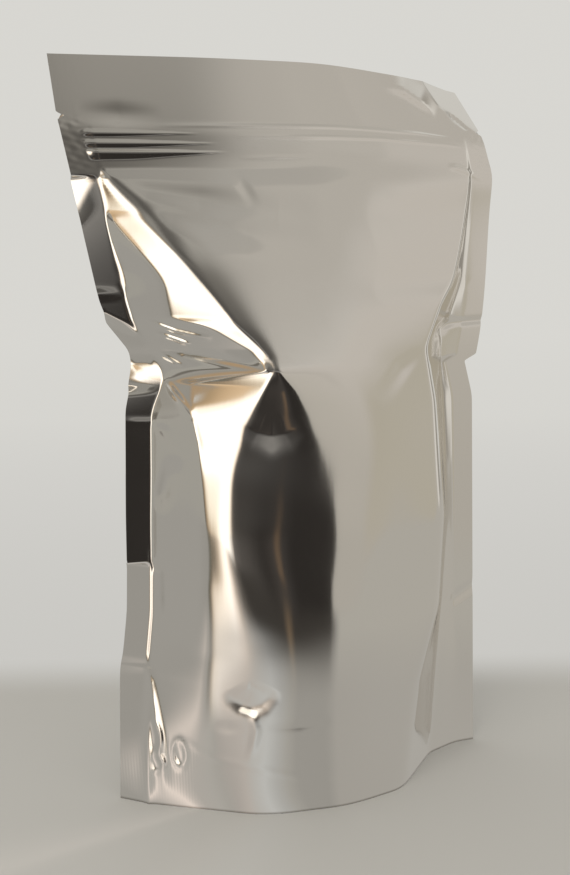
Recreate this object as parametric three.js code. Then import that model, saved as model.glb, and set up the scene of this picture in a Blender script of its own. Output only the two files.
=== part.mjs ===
// A stand-up foil pouch with a press-to-close zipper, shut, standing on its opened bottom gusset.
// Millimetres, +Z up, the front panel towards -Y, the origin on the floor under the middle of the pouch.
// The pouch is a flat sheet of sealed film, the middle sheet, from which a front and a back panel bulge.

import * as THREE from "three";
import { ParametricGeometry } from "three/addons/geometries/ParametricGeometry.js";
import { mergeGeometries, mergeVertices } from "three/addons/utils/BufferGeometryUtils.js";

// Driving dimensions
const FLAT_WIDTH = 174; // width of the flat, empty pouch at its header
const HEIGHT = 277; // film height above the floor, before the header leans back
const EDGE_THICKNESS = 0.5; // two sealed layers of film
const SEAL_WIDTH = 9; // side seals
const BASE_HALF = 76.5; // from the middle to a side seal's foot, with the gusset open
const BELLY_DEPTH = 42; // front panel in front of the side seals, at its fullest
const BACK_DEPTH = 39; // back panel behind the side seals, at its fullest

// Heights above the floor
const GUSSET_FOLD = 50; // where the gusset's fold meets the side seals
const BELLY = 105; // the fullest level
const KNEE = 165; // the corner where the front panel's two folds meet, level with the side pinches
const BACK_KNEE = 150;
const FOLD_TOP = 236; // where the diagonal folds leave the side seals, under the zipper
const ZIPPER = 244; // middle of the zipper band
const NOTCH = 254.5; // tear notches

// Zipper band, seen through the film as raised ribs
const RIB_PITCH = 4;
const RIB_COUNT = 3;
const RIB_HALF_WIDTH = 1.7;
const RIB_RELIEF = 0.7;
const RIB_END_FADE = 6; // ribs are crushed flat over this length inside the side seals

const NOTCH_DEPTH = 2.6;
const NOTCH_HALF_HEIGHT = 1.3;

const HALF_EDGE = EDGE_THICKNESS / 2;
const HEADER_HALF = FLAT_WIDTH / 2;
const FRONT = -1;
const BACK = 1;

// Smooth building blocks

const clamp01 = (x) => Math.min(1, Math.max(0, x));
const lerp = (a, b, k) => a + (b - a) * k;
const smoothstep = (low, high, x) => {
  const k = clamp01((x - low) / (high - low));
  return k * k * (3 - 2 * k);
};

// 0 before a bend and x after it, turning over the length from -round to +round.
function ramp(x, round) {
  if (x <= -round) return 0;
  if (x >= round) return x;
  const y = x / round;
  return round * (((1 + y) * (1 + y)) / 4 - (1 + Math.cos(Math.PI * y)) / (2 * Math.PI * Math.PI));
}

// A line through knots [place, value, round] that turns over a rounded bend at each inner knot.
// A knot without its own round has the given one.
function bentLine(knots, usualRound) {
  const slopes = knots.slice(1).map(([place, value], i) => (value - knots[i][1]) / (place - knots[i][0]));
  return (place) => {
    let value = knots[0][1] + slopes[0] * (place - knots[0][0]);
    for (let i = 1; i < slopes.length; i++) {
      const [knot, , round = usualRound] = knots[i];
      value += (slopes[i] - slopes[i - 1]) * ramp(place - knot, round);
    }
    return value;
  };
}

// A fold's cross-section: 1 on its line, falling to 0 one width away.
const tent = (q, tip, foot) => ramp(q + 1, foot) - 2 * ramp(q, tip) + ramp(q - 1, foot);

// The middle sheet: side edges, bow and lean of the header, sideways buckles of the left seal

const KNOT_ROUND = 5;
const leftEdgeLine = bentLine(
  [
    [0, -BASE_HALF],
    [KNEE - 15, -67.5],
    [KNEE, -64.5],
    [KNEE + 16, -73],
    [KNEE + 50, -80.5],
    [NOTCH, -HEADER_HALF],
    [HEIGHT, -HEADER_HALF - 1.5],
  ],
  KNOT_ROUND,
);
const rightEdgeLine = bentLine(
  [
    [0, BASE_HALF],
    [KNEE - 17, 74],
    [KNEE - 2, 71],
    [KNEE + 11, 79],
    [FOLD_TOP, HEADER_HALF + 1],
    [NOTCH, HEADER_HALF - 1],
    [HEIGHT, HEADER_HALF - 1.5],
  ],
  KNOT_ROUND,
);
const notchCut = (z) => NOTCH_DEPTH * Math.max(0, 1 - Math.abs(z - NOTCH) / NOTCH_HALF_HEIGHT);
const leftEdge = (z) => leftEdgeLine(z) + notchCut(z);
const rightEdge = (z) => rightEdgeLine(z) - notchCut(z);

// The zipper line bows towards the front, and its right end turns back.
const zipperBow = bentLine(
  [
    [-HEADER_HALF, 2],
    [-32, -4],
    [18, -4],
    [46, 1],
    [HEADER_HALF, 12],
  ],
  22,
);
const BOW_FROM = KNEE;
const BOW_FULL = FOLD_TOP;

// The header above the zipper leans back, in degrees, most at its right end.
const headerLean = bentLine(
  [
    [-HEADER_HALF, 15.5],
    [8, 16],
    [65, 28],
    [HEADER_HALF, 29],
  ],
  20,
);
const LEAN_BEND = [ZIPPER - 4, ZIPPER + 12]; // heights between which the header bends back

// The left seal's edge turns back between two creases at the pinch.
const leftSealSway = bentLine(
  [
    [KNEE - 12, 0],
    [KNEE + 2, 5],
    [KNEE + 17, 0],
  ],
  3,
);

// Low down the left seal turns to the front, by this much depth across its width.
const FOOT_TURN = 5.9;
const FOOT_TURN_FROM = 90;
const FOOT_TURN_FULL = 12;
const FOOT_TURN_END = 60; // across the pouch, where the turn has faded out

function middleDepth(x, z) {
  const bow = zipperBow(x) * smoothstep(BOW_FROM, BOW_FULL, z);
  const acrossSeal = clamp01((x - leftEdgeLine(z)) / SEAL_WIDTH);
  const low = smoothstep(FOOT_TURN_FROM, FOOT_TURN_FULL, z);
  const turn = FOOT_TURN * low * acrossSeal * smoothstep(FOOT_TURN_END, 0, x);
  return bow + Math.max(0, leftSealSway(z)) * (1 - acrossSeal) - turn;
}

// Folds that run up a panel from the left seal to the right one: ridge, crown and shoulder.
// x is the place across and bulge is how far the panel stands out from the middle sheet there.
// Each is a bent line of knots [height, value, round]. A toe is a softer fold between a seal and
// the fold next to it, at a share of the way across and with a share of that fold's bulge.

const SEAL_TOP_LEFT = -HEADER_HALF + SEAL_WIDTH;
const SEAL_TOP_RIGHT = HEADER_HALF - SEAL_WIDTH;
const BULGE_TOP = FOLD_TOP + 4;

const frontRidge = {
  x: bentLine(
    [[0, -26], [BELLY, -27], [KNEE, -23], [FOLD_TOP, SEAL_TOP_LEFT], [HEIGHT, SEAL_TOP_LEFT]],
    3,
  ),
  bulge: bentLine(
    [[0, 24], [GUSSET_FOLD, 34], [BELLY, BELLY_DEPTH - 2], [KNEE, 35, 3], [FOLD_TOP, 0, 3], [HEIGHT, 0]],
    25,
  ),
  round: bentLine([[0, 20], [BELLY, 20], [KNEE - 5, 2], [KNEE + 25, 5], [FOLD_TOP, 1], [HEIGHT, 1]], 4),
};
const frontCrown = {
  x: () => 6,
  bulge: bentLine(
    [[0, 30], [GUSSET_FOLD, 37], [BELLY, BELLY_DEPTH], [KNEE, 33], [BULGE_TOP, 0, 5], [HEIGHT, 0]],
    40,
  ),
  round: () => 28,
};
const frontShoulder = {
  x: bentLine(
    [[0, 29], [42, 38], [BELLY, 49], [KNEE + 5, 47], [FOLD_TOP, SEAL_TOP_RIGHT], [HEIGHT, SEAL_TOP_RIGHT]],
    5,
  ),
  bulge: bentLine([[0, 26], [42, 29], [BELLY, 26], [KNEE + 5, 21], [FOLD_TOP, 0], [HEIGHT, 0]], 5),
  round: () => 6,
};
const backRidge = {
  x: bentLine(
    [[0, -36], [BELLY, -42], [BACK_KNEE, -38], [FOLD_TOP, SEAL_TOP_LEFT], [HEIGHT, SEAL_TOP_LEFT]],
    6,
  ),
  bulge: bentLine([[0, 34], [BELLY, 31], [BACK_KNEE, 25], [FOLD_TOP, 0], [HEIGHT, 0]], 6),
  round: () => 10,
};
const backCrown = {
  x: () => -4,
  bulge: bentLine(
    [[0, BACK_DEPTH + 2], [BELLY, BACK_DEPTH], [BACK_KNEE, 30], [BULGE_TOP, 0, 5], [HEIGHT, 0]],
    30,
  ),
  round: () => 28,
};
const backShoulder = {
  x: bentLine(
    [[0, 36], [BELLY, 42], [BACK_KNEE, 34], [FOLD_TOP, SEAL_TOP_RIGHT], [HEIGHT, SEAL_TOP_RIGHT]],
    6,
  ),
  bulge: bentLine([[0, 34], [BELLY, 31], [BACK_KNEE, 26], [FOLD_TOP, 0], [HEIGHT, 0]], 6),
  round: () => 10,
};
const frontLeftToe = { place: 0.44, share: bentLine([[0, 0.48], [GUSSET_FOLD, 0.42], [HEIGHT, 0.42]], 8) };
const frontRightToe = {
  place: 0.37,
  share: bentLine([[0, 0.22], [KNEE, 0.16], [FOLD_TOP, 0.36], [HEIGHT, 0.36]], 8),
};
const backToe = { place: 0.4, share: bentLine([[0, 0.2], [GUSSET_FOLD + 10, 0.4], [HEIGHT, 0.4]], 8) };

const panels = {
  [FRONT]: {
    ridge: frontRidge,
    crown: frontCrown,
    shoulder: frontShoulder,
    leftToe: frontLeftToe,
    rightToe: frontRightToe,
  },
  [BACK]: {
    ridge: backRidge,
    crown: backCrown,
    shoulder: backShoulder,
    leftToe: backToe,
    rightToe: backToe,
  },
};

const TOE_ROUND = 5;
const SEAL_ROUND = 1.2;
const LEAST_SPAN = 4; // between a seal and the fold next to it

// The folds of a panel at one height, from the left edge to the right one, as { x, bulge, round }.
function section(side, z) {
  const { ridge, crown, shoulder, leftToe, rightToe } = panels[side];
  const leftSeal = { x: leftEdgeLine(z) + SEAL_WIDTH, bulge: 0, round: SEAL_ROUND };
  const rightSeal = { x: rightEdgeLine(z) - SEAL_WIDTH, bulge: 0, round: SEAL_ROUND };
  const at = (fold) => ({ x: fold.x(z), bulge: Math.max(0, fold.bulge(z)), round: fold.round(z) });
  const [left, middle, right] = [ridge, crown, shoulder].map(at);
  left.x = Math.max(left.x, leftSeal.x + LEAST_SPAN);
  right.x = Math.min(right.x, rightSeal.x - LEAST_SPAN);
  left.round = Math.min(left.round, left.x - leftSeal.x);
  right.round = Math.min(right.round, rightSeal.x - right.x);
  const toe = (seal, fold, { place, share }) => ({
    x: lerp(seal.x, fold.x, place),
    bulge: fold.bulge * share(z),
    round: Math.min(TOE_ROUND, Math.abs(fold.x - seal.x) * place),
  });
  const leftFoot = toe(leftSeal, left, leftToe);
  const rightFoot = toe(rightSeal, right, rightToe);
  return [leftSeal, leftFoot, left, middle, right, rightFoot, rightSeal];
}

function bulgeAt(folds, x) {
  let bulge = 0;
  let slopeBefore = 0;
  folds.forEach((fold, i) => {
    const next = folds[i + 1];
    const slope = next ? (next.bulge - fold.bulge) / (next.x - fold.x) : 0;
    bulge += (slope - slopeBefore) * ramp(x - fold.x, fold.round);
    slopeBefore = slope;
  });
  return Math.max(0, bulge);
}

// Creases across a panel: a straight line in front view, raised or sunk by relief along it.
const creases = {
  [FRONT]: [
    { from: [-56, KNEE - 1], to: [-24, KNEE - 1], relief: -4, width: 13, tip: 0.12 },
    { from: [68, KNEE - 1], to: [49, KNEE + 4], relief: -3, width: 9, tip: 0.15 },
  ],
  [BACK]: [
    { from: [-54, KNEE - 2], to: [-36, BACK_KNEE], relief: -3, width: 12, tip: 0.2 },
    { from: [64, KNEE - 2], to: [34, BACK_KNEE], relief: -4, width: 12, tip: 0.2 },
  ],
};
const CREASE_FOOT = 0.5;
const CREASE_BULGE = 6; // creases are full only where the panel stands out this far

function creaseRelief(side, x, z) {
  let relief = 0;
  for (const { from, to, relief: height, width, tip } of creases[side]) {
    const along = new THREE.Vector2(to[0] - from[0], to[1] - from[1]);
    const length = along.length();
    along.divideScalar(length);
    const [dx, dz] = [x - from[0], z - from[1]];
    const place = clamp01((dx * along.x + dz * along.y) / length);
    const across = dz * along.x - dx * along.y;
    relief += height * Math.sin(Math.PI * place) * tent(across / width, tip, CREASE_FOOT);
  }
  return relief;
}

function zipperRelief(x, z) {
  const inside = Math.min(x - leftEdgeLine(z), rightEdgeLine(z) - x) - SEAL_WIDTH / 2;
  let relief = 0;
  for (let rib = 0; rib < RIB_COUNT; rib++) {
    const offset = z - ZIPPER - (rib - (RIB_COUNT - 1) / 2) * RIB_PITCH;
    const turn = (Math.PI / 2) * Math.min(1, Math.abs(offset) / RIB_HALF_WIDTH);
    relief += RIB_RELIEF * Math.cos(turn) ** 2;
  }
  return relief * smoothstep(0, RIB_END_FADE, inside);
}

// The header's top right corner is folded back along a line from the top edge to the right notch.
const DOG_EAR_ANGLE = THREE.MathUtils.degToRad(24);
const DOG_EAR_TOP = [61, HEIGHT]; // front view
const DOG_EAR_FOOT = [HEADER_HALF, NOTCH - 1];
const DOG_EAR_ROUND = 3;

function foldBack(point, x, z) {
  const line = new THREE.Vector2(...DOG_EAR_TOP).sub(new THREE.Vector2(...DOG_EAR_FOOT)).normalize();
  const beyond = (x - DOG_EAR_FOOT[0]) * line.y - (z - DOG_EAR_FOOT[1]) * line.x;
  const turned = ramp(beyond, DOG_EAR_ROUND);
  const shift = turned * (1 - Math.cos(DOG_EAR_ANGLE));
  point.x -= line.y * shift;
  point.z += line.x * shift;
  point.y += turned * Math.sin(DOG_EAR_ANGLE);
}

// A point of a panel, from its place in front view before the header leans.
function panelPoint(side, x, z, target) {
  const folds = section(side, z);
  const stand = bulgeAt(folds, x);
  const inBulge = smoothstep(0, CREASE_BULGE, stand);
  const outward = HALF_EDGE + stand + creaseRelief(side, x, z) * inBulge + zipperRelief(x, z);
  const lean = THREE.MathUtils.degToRad(headerLean(x)) * smoothstep(...LEAN_BEND, z);
  const rise = z - ZIPPER;
  target.set(x, middleDepth(x, z) + side * outward, z);
  if (rise > 0) {
    target.y += rise * Math.sin(lean);
    target.z = ZIPPER + rise * Math.cos(lean);
  }
  foldBack(target, x, z);
  return target;
}

// Rows and columns of the panels' grid

// Values from the first knot to the last, with the given number of steps between each two.
function spread(knots, steps) {
  const values = [];
  steps.forEach((count, i) => {
    for (let k = 0; k < count; k++) values.push(lerp(knots[i], knots[i + 1], k / count));
  });
  return [...values, knots.at(-1)];
}

const BAND_HALF = (RIB_COUNT * RIB_PITCH) / 2;
const rows = spread(
  [
    0,
    GUSSET_FOLD,
    BELLY,
    KNEE - 18,
    KNEE,
    KNEE + 18,
    FOLD_TOP,
    ZIPPER - BAND_HALF,
    ZIPPER + BAND_HALF,
    NOTCH - NOTCH_HALF_HEIGHT,
    NOTCH,
    NOTCH + NOTCH_HALF_HEIGHT,
    HEIGHT,
  ],
  [7, 6, 5, 5, 5, 7, 1, RIB_COUNT * 2, 1, 1, 1, 5],
);
const columnSteps = [2, 2, 4, 7, 8, 4, 2, 2];
const columns = columnSteps.reduce((sum, n) => sum + n, 0);

function columnXs(side, z) {
  return spread([leftEdge(z), ...section(side, z).map((fold) => fold.x), rightEdge(z)], columnSteps);
}

// Above the folds the columns of both panels draw together, at these shares of the width.
const headerXs = columnXs(FRONT, FOLD_TOP);
const headerShares = headerXs.map((x) => (x - headerXs[0]) / (headerXs.at(-1) - headerXs[0]));
const HEADER_FROM = ZIPPER - BAND_HALF;

function columnX(side, column, z) {
  const inHeader = lerp(leftEdge(z), rightEdge(z), headerShares[column]);
  return lerp(columnXs(side, z)[column], inHeader, smoothstep(FOLD_TOP, HEADER_FROM, z));
}

const gridPoint = (side, column, row, target) =>
  panelPoint(side, columnX(side, column, rows[row]), rows[row], target);

// Underside: a rim that stands on the floor, round a hollow under the gusset
const RIM_WIDTH = 1.5;
const HOLLOW = 7; // height of the gusset's film over the floor inside the rim
const HOLLOW_FROM = 4; // no hollow where the panels are closer than this
const HOLLOW_FULL = 24;
const WALL_SLANT = 1.4; // top of the hollow's wall, in rim widths from the edge
const UNDER_STEPS = 8;

function undersidePoint(column, step, target) {
  const front = gridPoint(FRONT, column, 0, new THREE.Vector3());
  const back = gridPoint(BACK, column, 0, new THREE.Vector3());
  const depth = back.y - front.y;
  const rim = Math.min(RIM_WIDTH / depth, 1 / UNDER_STEPS);
  const wall = rim * WALL_SLANT;
  const places = [0, rim, ...spread([wall, 1 - wall], [UNDER_STEPS - 4]), 1 - rim, 1];
  const isHollow = step > 1 && step < UNDER_STEPS - 1;
  const isShut = depth < 2 * RIM_WIDTH;
  target.lerpVectors(front, back, isShut ? Math.round(step / UNDER_STEPS) : places[step]);
  target.z = isHollow ? HOLLOW * smoothstep(HOLLOW_FROM, HOLLOW_FULL, depth) : 0;
  return target;
}

// The pouch as one closed surface

const lastRow = rows.length - 1;
const indexOf = (share, count) => Math.round(share * count);

// Leaves out triangles with two corners in one place.
function dropFlatTriangles(geometry) {
  const { array } = geometry.index;
  const kept = [];
  for (let i = 0; i < array.length; i += 3) {
    const corners = array.slice(i, i + 3);
    if (new Set(corners).size === 3) kept.push(...corners);
  }
  geometry.setIndex(kept);
}

function pouchGeometry() {
  const panel = (side) =>
    new ParametricGeometry(
      (u, v, target) => {
        const across = side === FRONT ? u : 1 - u;
        return gridPoint(side, indexOf(across, columns), indexOf(v, lastRow), target);
      },
      columns,
      lastRow,
    );
  const sideEdge = (column, firstSide) =>
    new ParametricGeometry(
      (u, v, target) => gridPoint(u < 0.5 ? firstSide : -firstSide, column, indexOf(v, lastRow), target),
      1,
      lastRow,
    );
  const topEdge = new ParametricGeometry(
    (u, v, target) => gridPoint(v < 0.5 ? FRONT : BACK, indexOf(u, columns), lastRow, target),
    columns,
    1,
  );
  const underside = new ParametricGeometry(
    (u, v, target) => undersidePoint(indexOf(u, columns), UNDER_STEPS - indexOf(v, UNDER_STEPS), target),
    columns,
    UNDER_STEPS,
  );
  const sideEdges = [sideEdge(0, BACK), sideEdge(columns, FRONT)];
  const joined = mergeGeometries([panel(FRONT), panel(BACK), ...sideEdges, topEdge, underside]);
  joined.deleteAttribute("normal");
  joined.deleteAttribute("uv");
  const closed = mergeVertices(joined, 1e-3);
  dropFlatTriangles(closed);
  closed.computeBoundingBox();
  const middle = closed.boundingBox.getCenter(new THREE.Vector3());
  closed.translate(-middle.x, -middle.y, 0);
  closed.computeVertexNormals();
  return closed;
}

const foil = new THREE.MeshStandardMaterial({ color: 0xc4beb4, metalness: 1, roughness: 0.18 });

const pouch = new THREE.Mesh(pouchGeometry(), foil);
pouch.name = "pouch";

const group = new THREE.Group();
group.add(pouch);

export default group;
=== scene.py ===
"""Looks for a stand-up foil pouch: fine folded film, seals, zipper ribs and a plain studio.

The film is worked out in millimetres in film coordinates: x to the right, z up, the front panel
towards -y. It is a middle sheet, with the side seals and the header, from which a front and a
back panel bulge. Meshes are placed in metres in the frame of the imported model.
"""

import logging
import math
from dataclasses import dataclass, field
from enum import Enum
from functools import reduce

import bmesh
import bpy
import numpy as np
from mathutils import Matrix, Vector


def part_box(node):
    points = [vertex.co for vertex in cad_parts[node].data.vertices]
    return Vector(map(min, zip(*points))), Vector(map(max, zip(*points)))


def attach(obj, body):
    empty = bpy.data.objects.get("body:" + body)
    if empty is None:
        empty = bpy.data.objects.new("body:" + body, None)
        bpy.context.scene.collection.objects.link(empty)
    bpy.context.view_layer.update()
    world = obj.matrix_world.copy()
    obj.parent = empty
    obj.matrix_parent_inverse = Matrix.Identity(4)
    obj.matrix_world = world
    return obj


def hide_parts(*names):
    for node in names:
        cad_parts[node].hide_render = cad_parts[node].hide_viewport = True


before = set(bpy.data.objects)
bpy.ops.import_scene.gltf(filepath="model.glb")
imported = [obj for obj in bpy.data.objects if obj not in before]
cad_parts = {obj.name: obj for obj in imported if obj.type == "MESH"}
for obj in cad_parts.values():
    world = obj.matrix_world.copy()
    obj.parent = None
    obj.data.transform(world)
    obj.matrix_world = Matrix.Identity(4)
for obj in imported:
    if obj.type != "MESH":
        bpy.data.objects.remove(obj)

LOG = logging.getLogger("pouch")
MM = 0.001
NODE = "pouch"
BODY = "root"
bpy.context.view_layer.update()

# Heights above the floor and sizes of the pouch, in millimetres
HEIGHT = 277.0
NOTCH = 254.5
FOLD_TOP = 236.0
APEX = 233.5
KNEE = 165.0
BACK_KNEE = 150.0
BELLY = 105.0
HEADER_HALF = 87.0
BASE_HALF = 76.5
SEAL_WIDTH = 9.0
EDGE_THICKNESS = 0.5
BACK_DEPTH = 39.0
SEAL_TOP = HEADER_HALF - SEAL_WIDTH
BULGE_TOP = FOLD_TOP + 4.0

UPWARD = Vector((0.0, 0.0, 1.0))

Array = np.ndarray
Knots = tuple[tuple[float, ...], ...]
Socket = bpy.types.NodeSocket
Feed = Socket | float | tuple[float, ...]


class Side(Enum):
    """The panel a point belongs to, with the way that it faces along y."""

    FRONT = -1
    BACK = 1


def smoothstep(low: float, high: float, x: Array) -> Array:
    """A soft step.

    Args:
        low: where the step starts; it may be above high for a falling step.
        high: where the step is full.
        x: places to read it at.

    Returns:
        0 before low, 1 past high, and a soft curve between them.
    """
    share = np.clip((x - low) / (high - low), 0.0, 1.0)
    return share * share * (3.0 - 2.0 * share)


def ramp(x: Array, half: Array | float) -> Array:
    """A straight line that starts at a rounded bend.

    Args:
        x: distances past the bend.
        half: half the length over which it turns.

    Returns:
        0 before the bend and x after it.
    """
    share = np.clip(x / half, -1.0, 1.0)
    turning = (1.0 + share) ** 2 / 4.0 - (1.0 + np.cos(np.pi * share)) / (2.0 * np.pi**2)
    return np.where(x >= half, x, half * turning)


@dataclass(frozen=True)
class BentLine:
    """A line through knots (place, value, half) that turns over a rounded bend at each inner knot."""

    knots: Knots
    half: float

    def __call__(self, place: Array) -> Array:
        """The line's value.

        Args:
            place: places to read it at.

        Returns:
            One value for each place.
        """
        pairs = zip(self.knots[:-1], self.knots[1:])
        slopes = [(after[1] - before[1]) / (after[0] - before[0]) for before, after in pairs]
        value = self.knots[0][1] + slopes[0] * (place - self.knots[0][0])
        for knot, before, after in zip(self.knots[1:-1], slopes[:-1], slopes[1:]):
            half = knot[2] if len(knot) > 2 else self.half
            value = value + (after - before) * ramp(place - knot[0], half)
        return value


def bent(*knots: tuple[float, ...], half: float = 5.0) -> BentLine:
    """A bent line through knots, with half the length of the turns that don't state it."""
    return BentLine(knots, half)


def level(value: float) -> BentLine:
    """A line that has one value everywhere."""
    return bent((0.0, value), (HEIGHT, value))


@dataclass(frozen=True)
class Fold:
    """A fold that runs up a panel: its place across, its bulge and half its rounding, by height."""

    x: BentLine
    bulge: BentLine
    half: BentLine


@dataclass(frozen=True)
class Panel:
    """The folds of one panel between its seals, from left to right, and its creases."""

    folds: tuple[Fold, ...]
    creases: tuple["Crease | Dimple", ...]


class Profile(Enum):
    """The cross-section of a crease."""

    SHARP = "sharp"
    SOFT = "soft"


@dataclass(frozen=True)
class Crease:
    """A raised or sunk line on a panel.

    Each stop is (x, z, relief, width), and the crease runs straight between its stops.
    Lean above 1 makes the side to the left of its way wider than the other one.
    Tip and foot are half the rounding of a sharp crest and of its feet, in widths.
    """

    stops: Knots
    profile: Profile
    lean: float = 1.0
    tip: float = 0.12
    foot: float = 0.5

    def relief(self, x: Array, z: Array) -> Array:
        """How far the crease lifts the film.

        Args:
            x: places across the panel.
            z: heights on the panel.

        Returns:
            The lift at each place, 0 away from the crease.
        """
        best = np.full(x.shape, np.inf)
        lift = np.zeros(x.shape)
        for start, end in zip(self.stops[:-1], self.stops[1:]):
            along = np.subtract(end[:2], start[:2])
            length = float(np.hypot(*along))
            dx, dz = x - start[0], z - start[1]
            place = np.clip((dx * along[0] + dz * along[1]) / length**2, 0.0, 1.0)
            near_x, near_z = dx - place * along[0], dz - place * along[1]
            distance = np.hypot(near_x, near_z)
            left = along[0] * near_z - along[1] * near_x > 0.0
            width = start[3] + (end[3] - start[3]) * place
            across = distance / (width * np.where(left, self.lean, 1.0))
            height = start[2] + (end[2] - start[2]) * place
            nearer = distance < best
            lift = np.where(nearer, height * self.section(across), lift)
            best = np.where(nearer, distance, best)
        return lift

    def section(self, across: Array) -> Array:
        """The crease's cross-section.

        Args:
            across: distances from its line, in widths.

        Returns:
            1 on the line, falling to 0 one width away.
        """
        if self.profile is Profile.SOFT:
            return np.cos(np.minimum(across, 1.0) * np.pi / 2.0) ** 2
        feet = ramp(across + 1.0, self.foot) + ramp(across - 1.0, self.foot)
        return feet - 2.0 * ramp(across, self.tip)


def sharp(*stops: tuple[float, ...], lean: float = 1.0, tip: float = 0.12) -> Crease:
    """A crease with a sharp crest."""
    return Crease(stops, Profile.SHARP, lean, tip)


def soft(*stops: tuple[float, ...]) -> Crease:
    """A crease with a soft crest."""
    return Crease(stops, Profile.SOFT)


@dataclass(frozen=True)
class Dimple:
    """An oval mark pressed into the film, with a raised rim."""

    x: float
    z: float
    half_width: float
    half_height: float
    depth: float
    rim: float
    rim_half: float = 0.25
    floor_half: float = 0.7

    def relief(self, x: Array, z: Array) -> Array:
        """How far the mark lifts the film.

        Args:
            x: places across the panel.
            z: heights on the panel.

        Returns:
            The lift at each place, below 0 inside the mark.
        """
        away = np.hypot((x - self.x) / self.half_width, (z - self.z) / self.half_height)
        rim = self.rim * np.exp(-(((away - 1.0) / self.rim_half) ** 2))
        return rim - self.depth * np.exp(-((away / self.floor_half) ** 4))


@dataclass(frozen=True)
class Ripple:
    """Smooth uneven waves: a seeded sum of waves in all directions."""

    height: float
    length: float
    seed: int
    waves: int = 9
    pitches: tuple[float, float] = (0.7, 1.5)

    def __call__(self, x: Array, z: Array) -> Array:
        """The waves' height.

        Args:
            x: places across the panel.
            z: heights on the panel.

        Returns:
            A height for each place, about half of them below 0.
        """
        draw = np.random.default_rng(self.seed)
        total = np.zeros(x.shape)
        for _ in range(self.waves):
            turn, phase = draw.uniform(0.0, 2.0 * np.pi, 2)
            pitch = self.length * draw.uniform(*self.pitches)
            way = (x * math.cos(turn) + z * math.sin(turn)) / pitch
            total += np.sin(2.0 * np.pi * way + phase)
        return self.height * total / math.sqrt(self.waves)


HEADER_LEFT = (HEIGHT, -SEAL_TOP)
HEADER_RIGHT = (HEIGHT, SEAL_TOP)
FLAT_TOP = (HEIGHT, 0)

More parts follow.
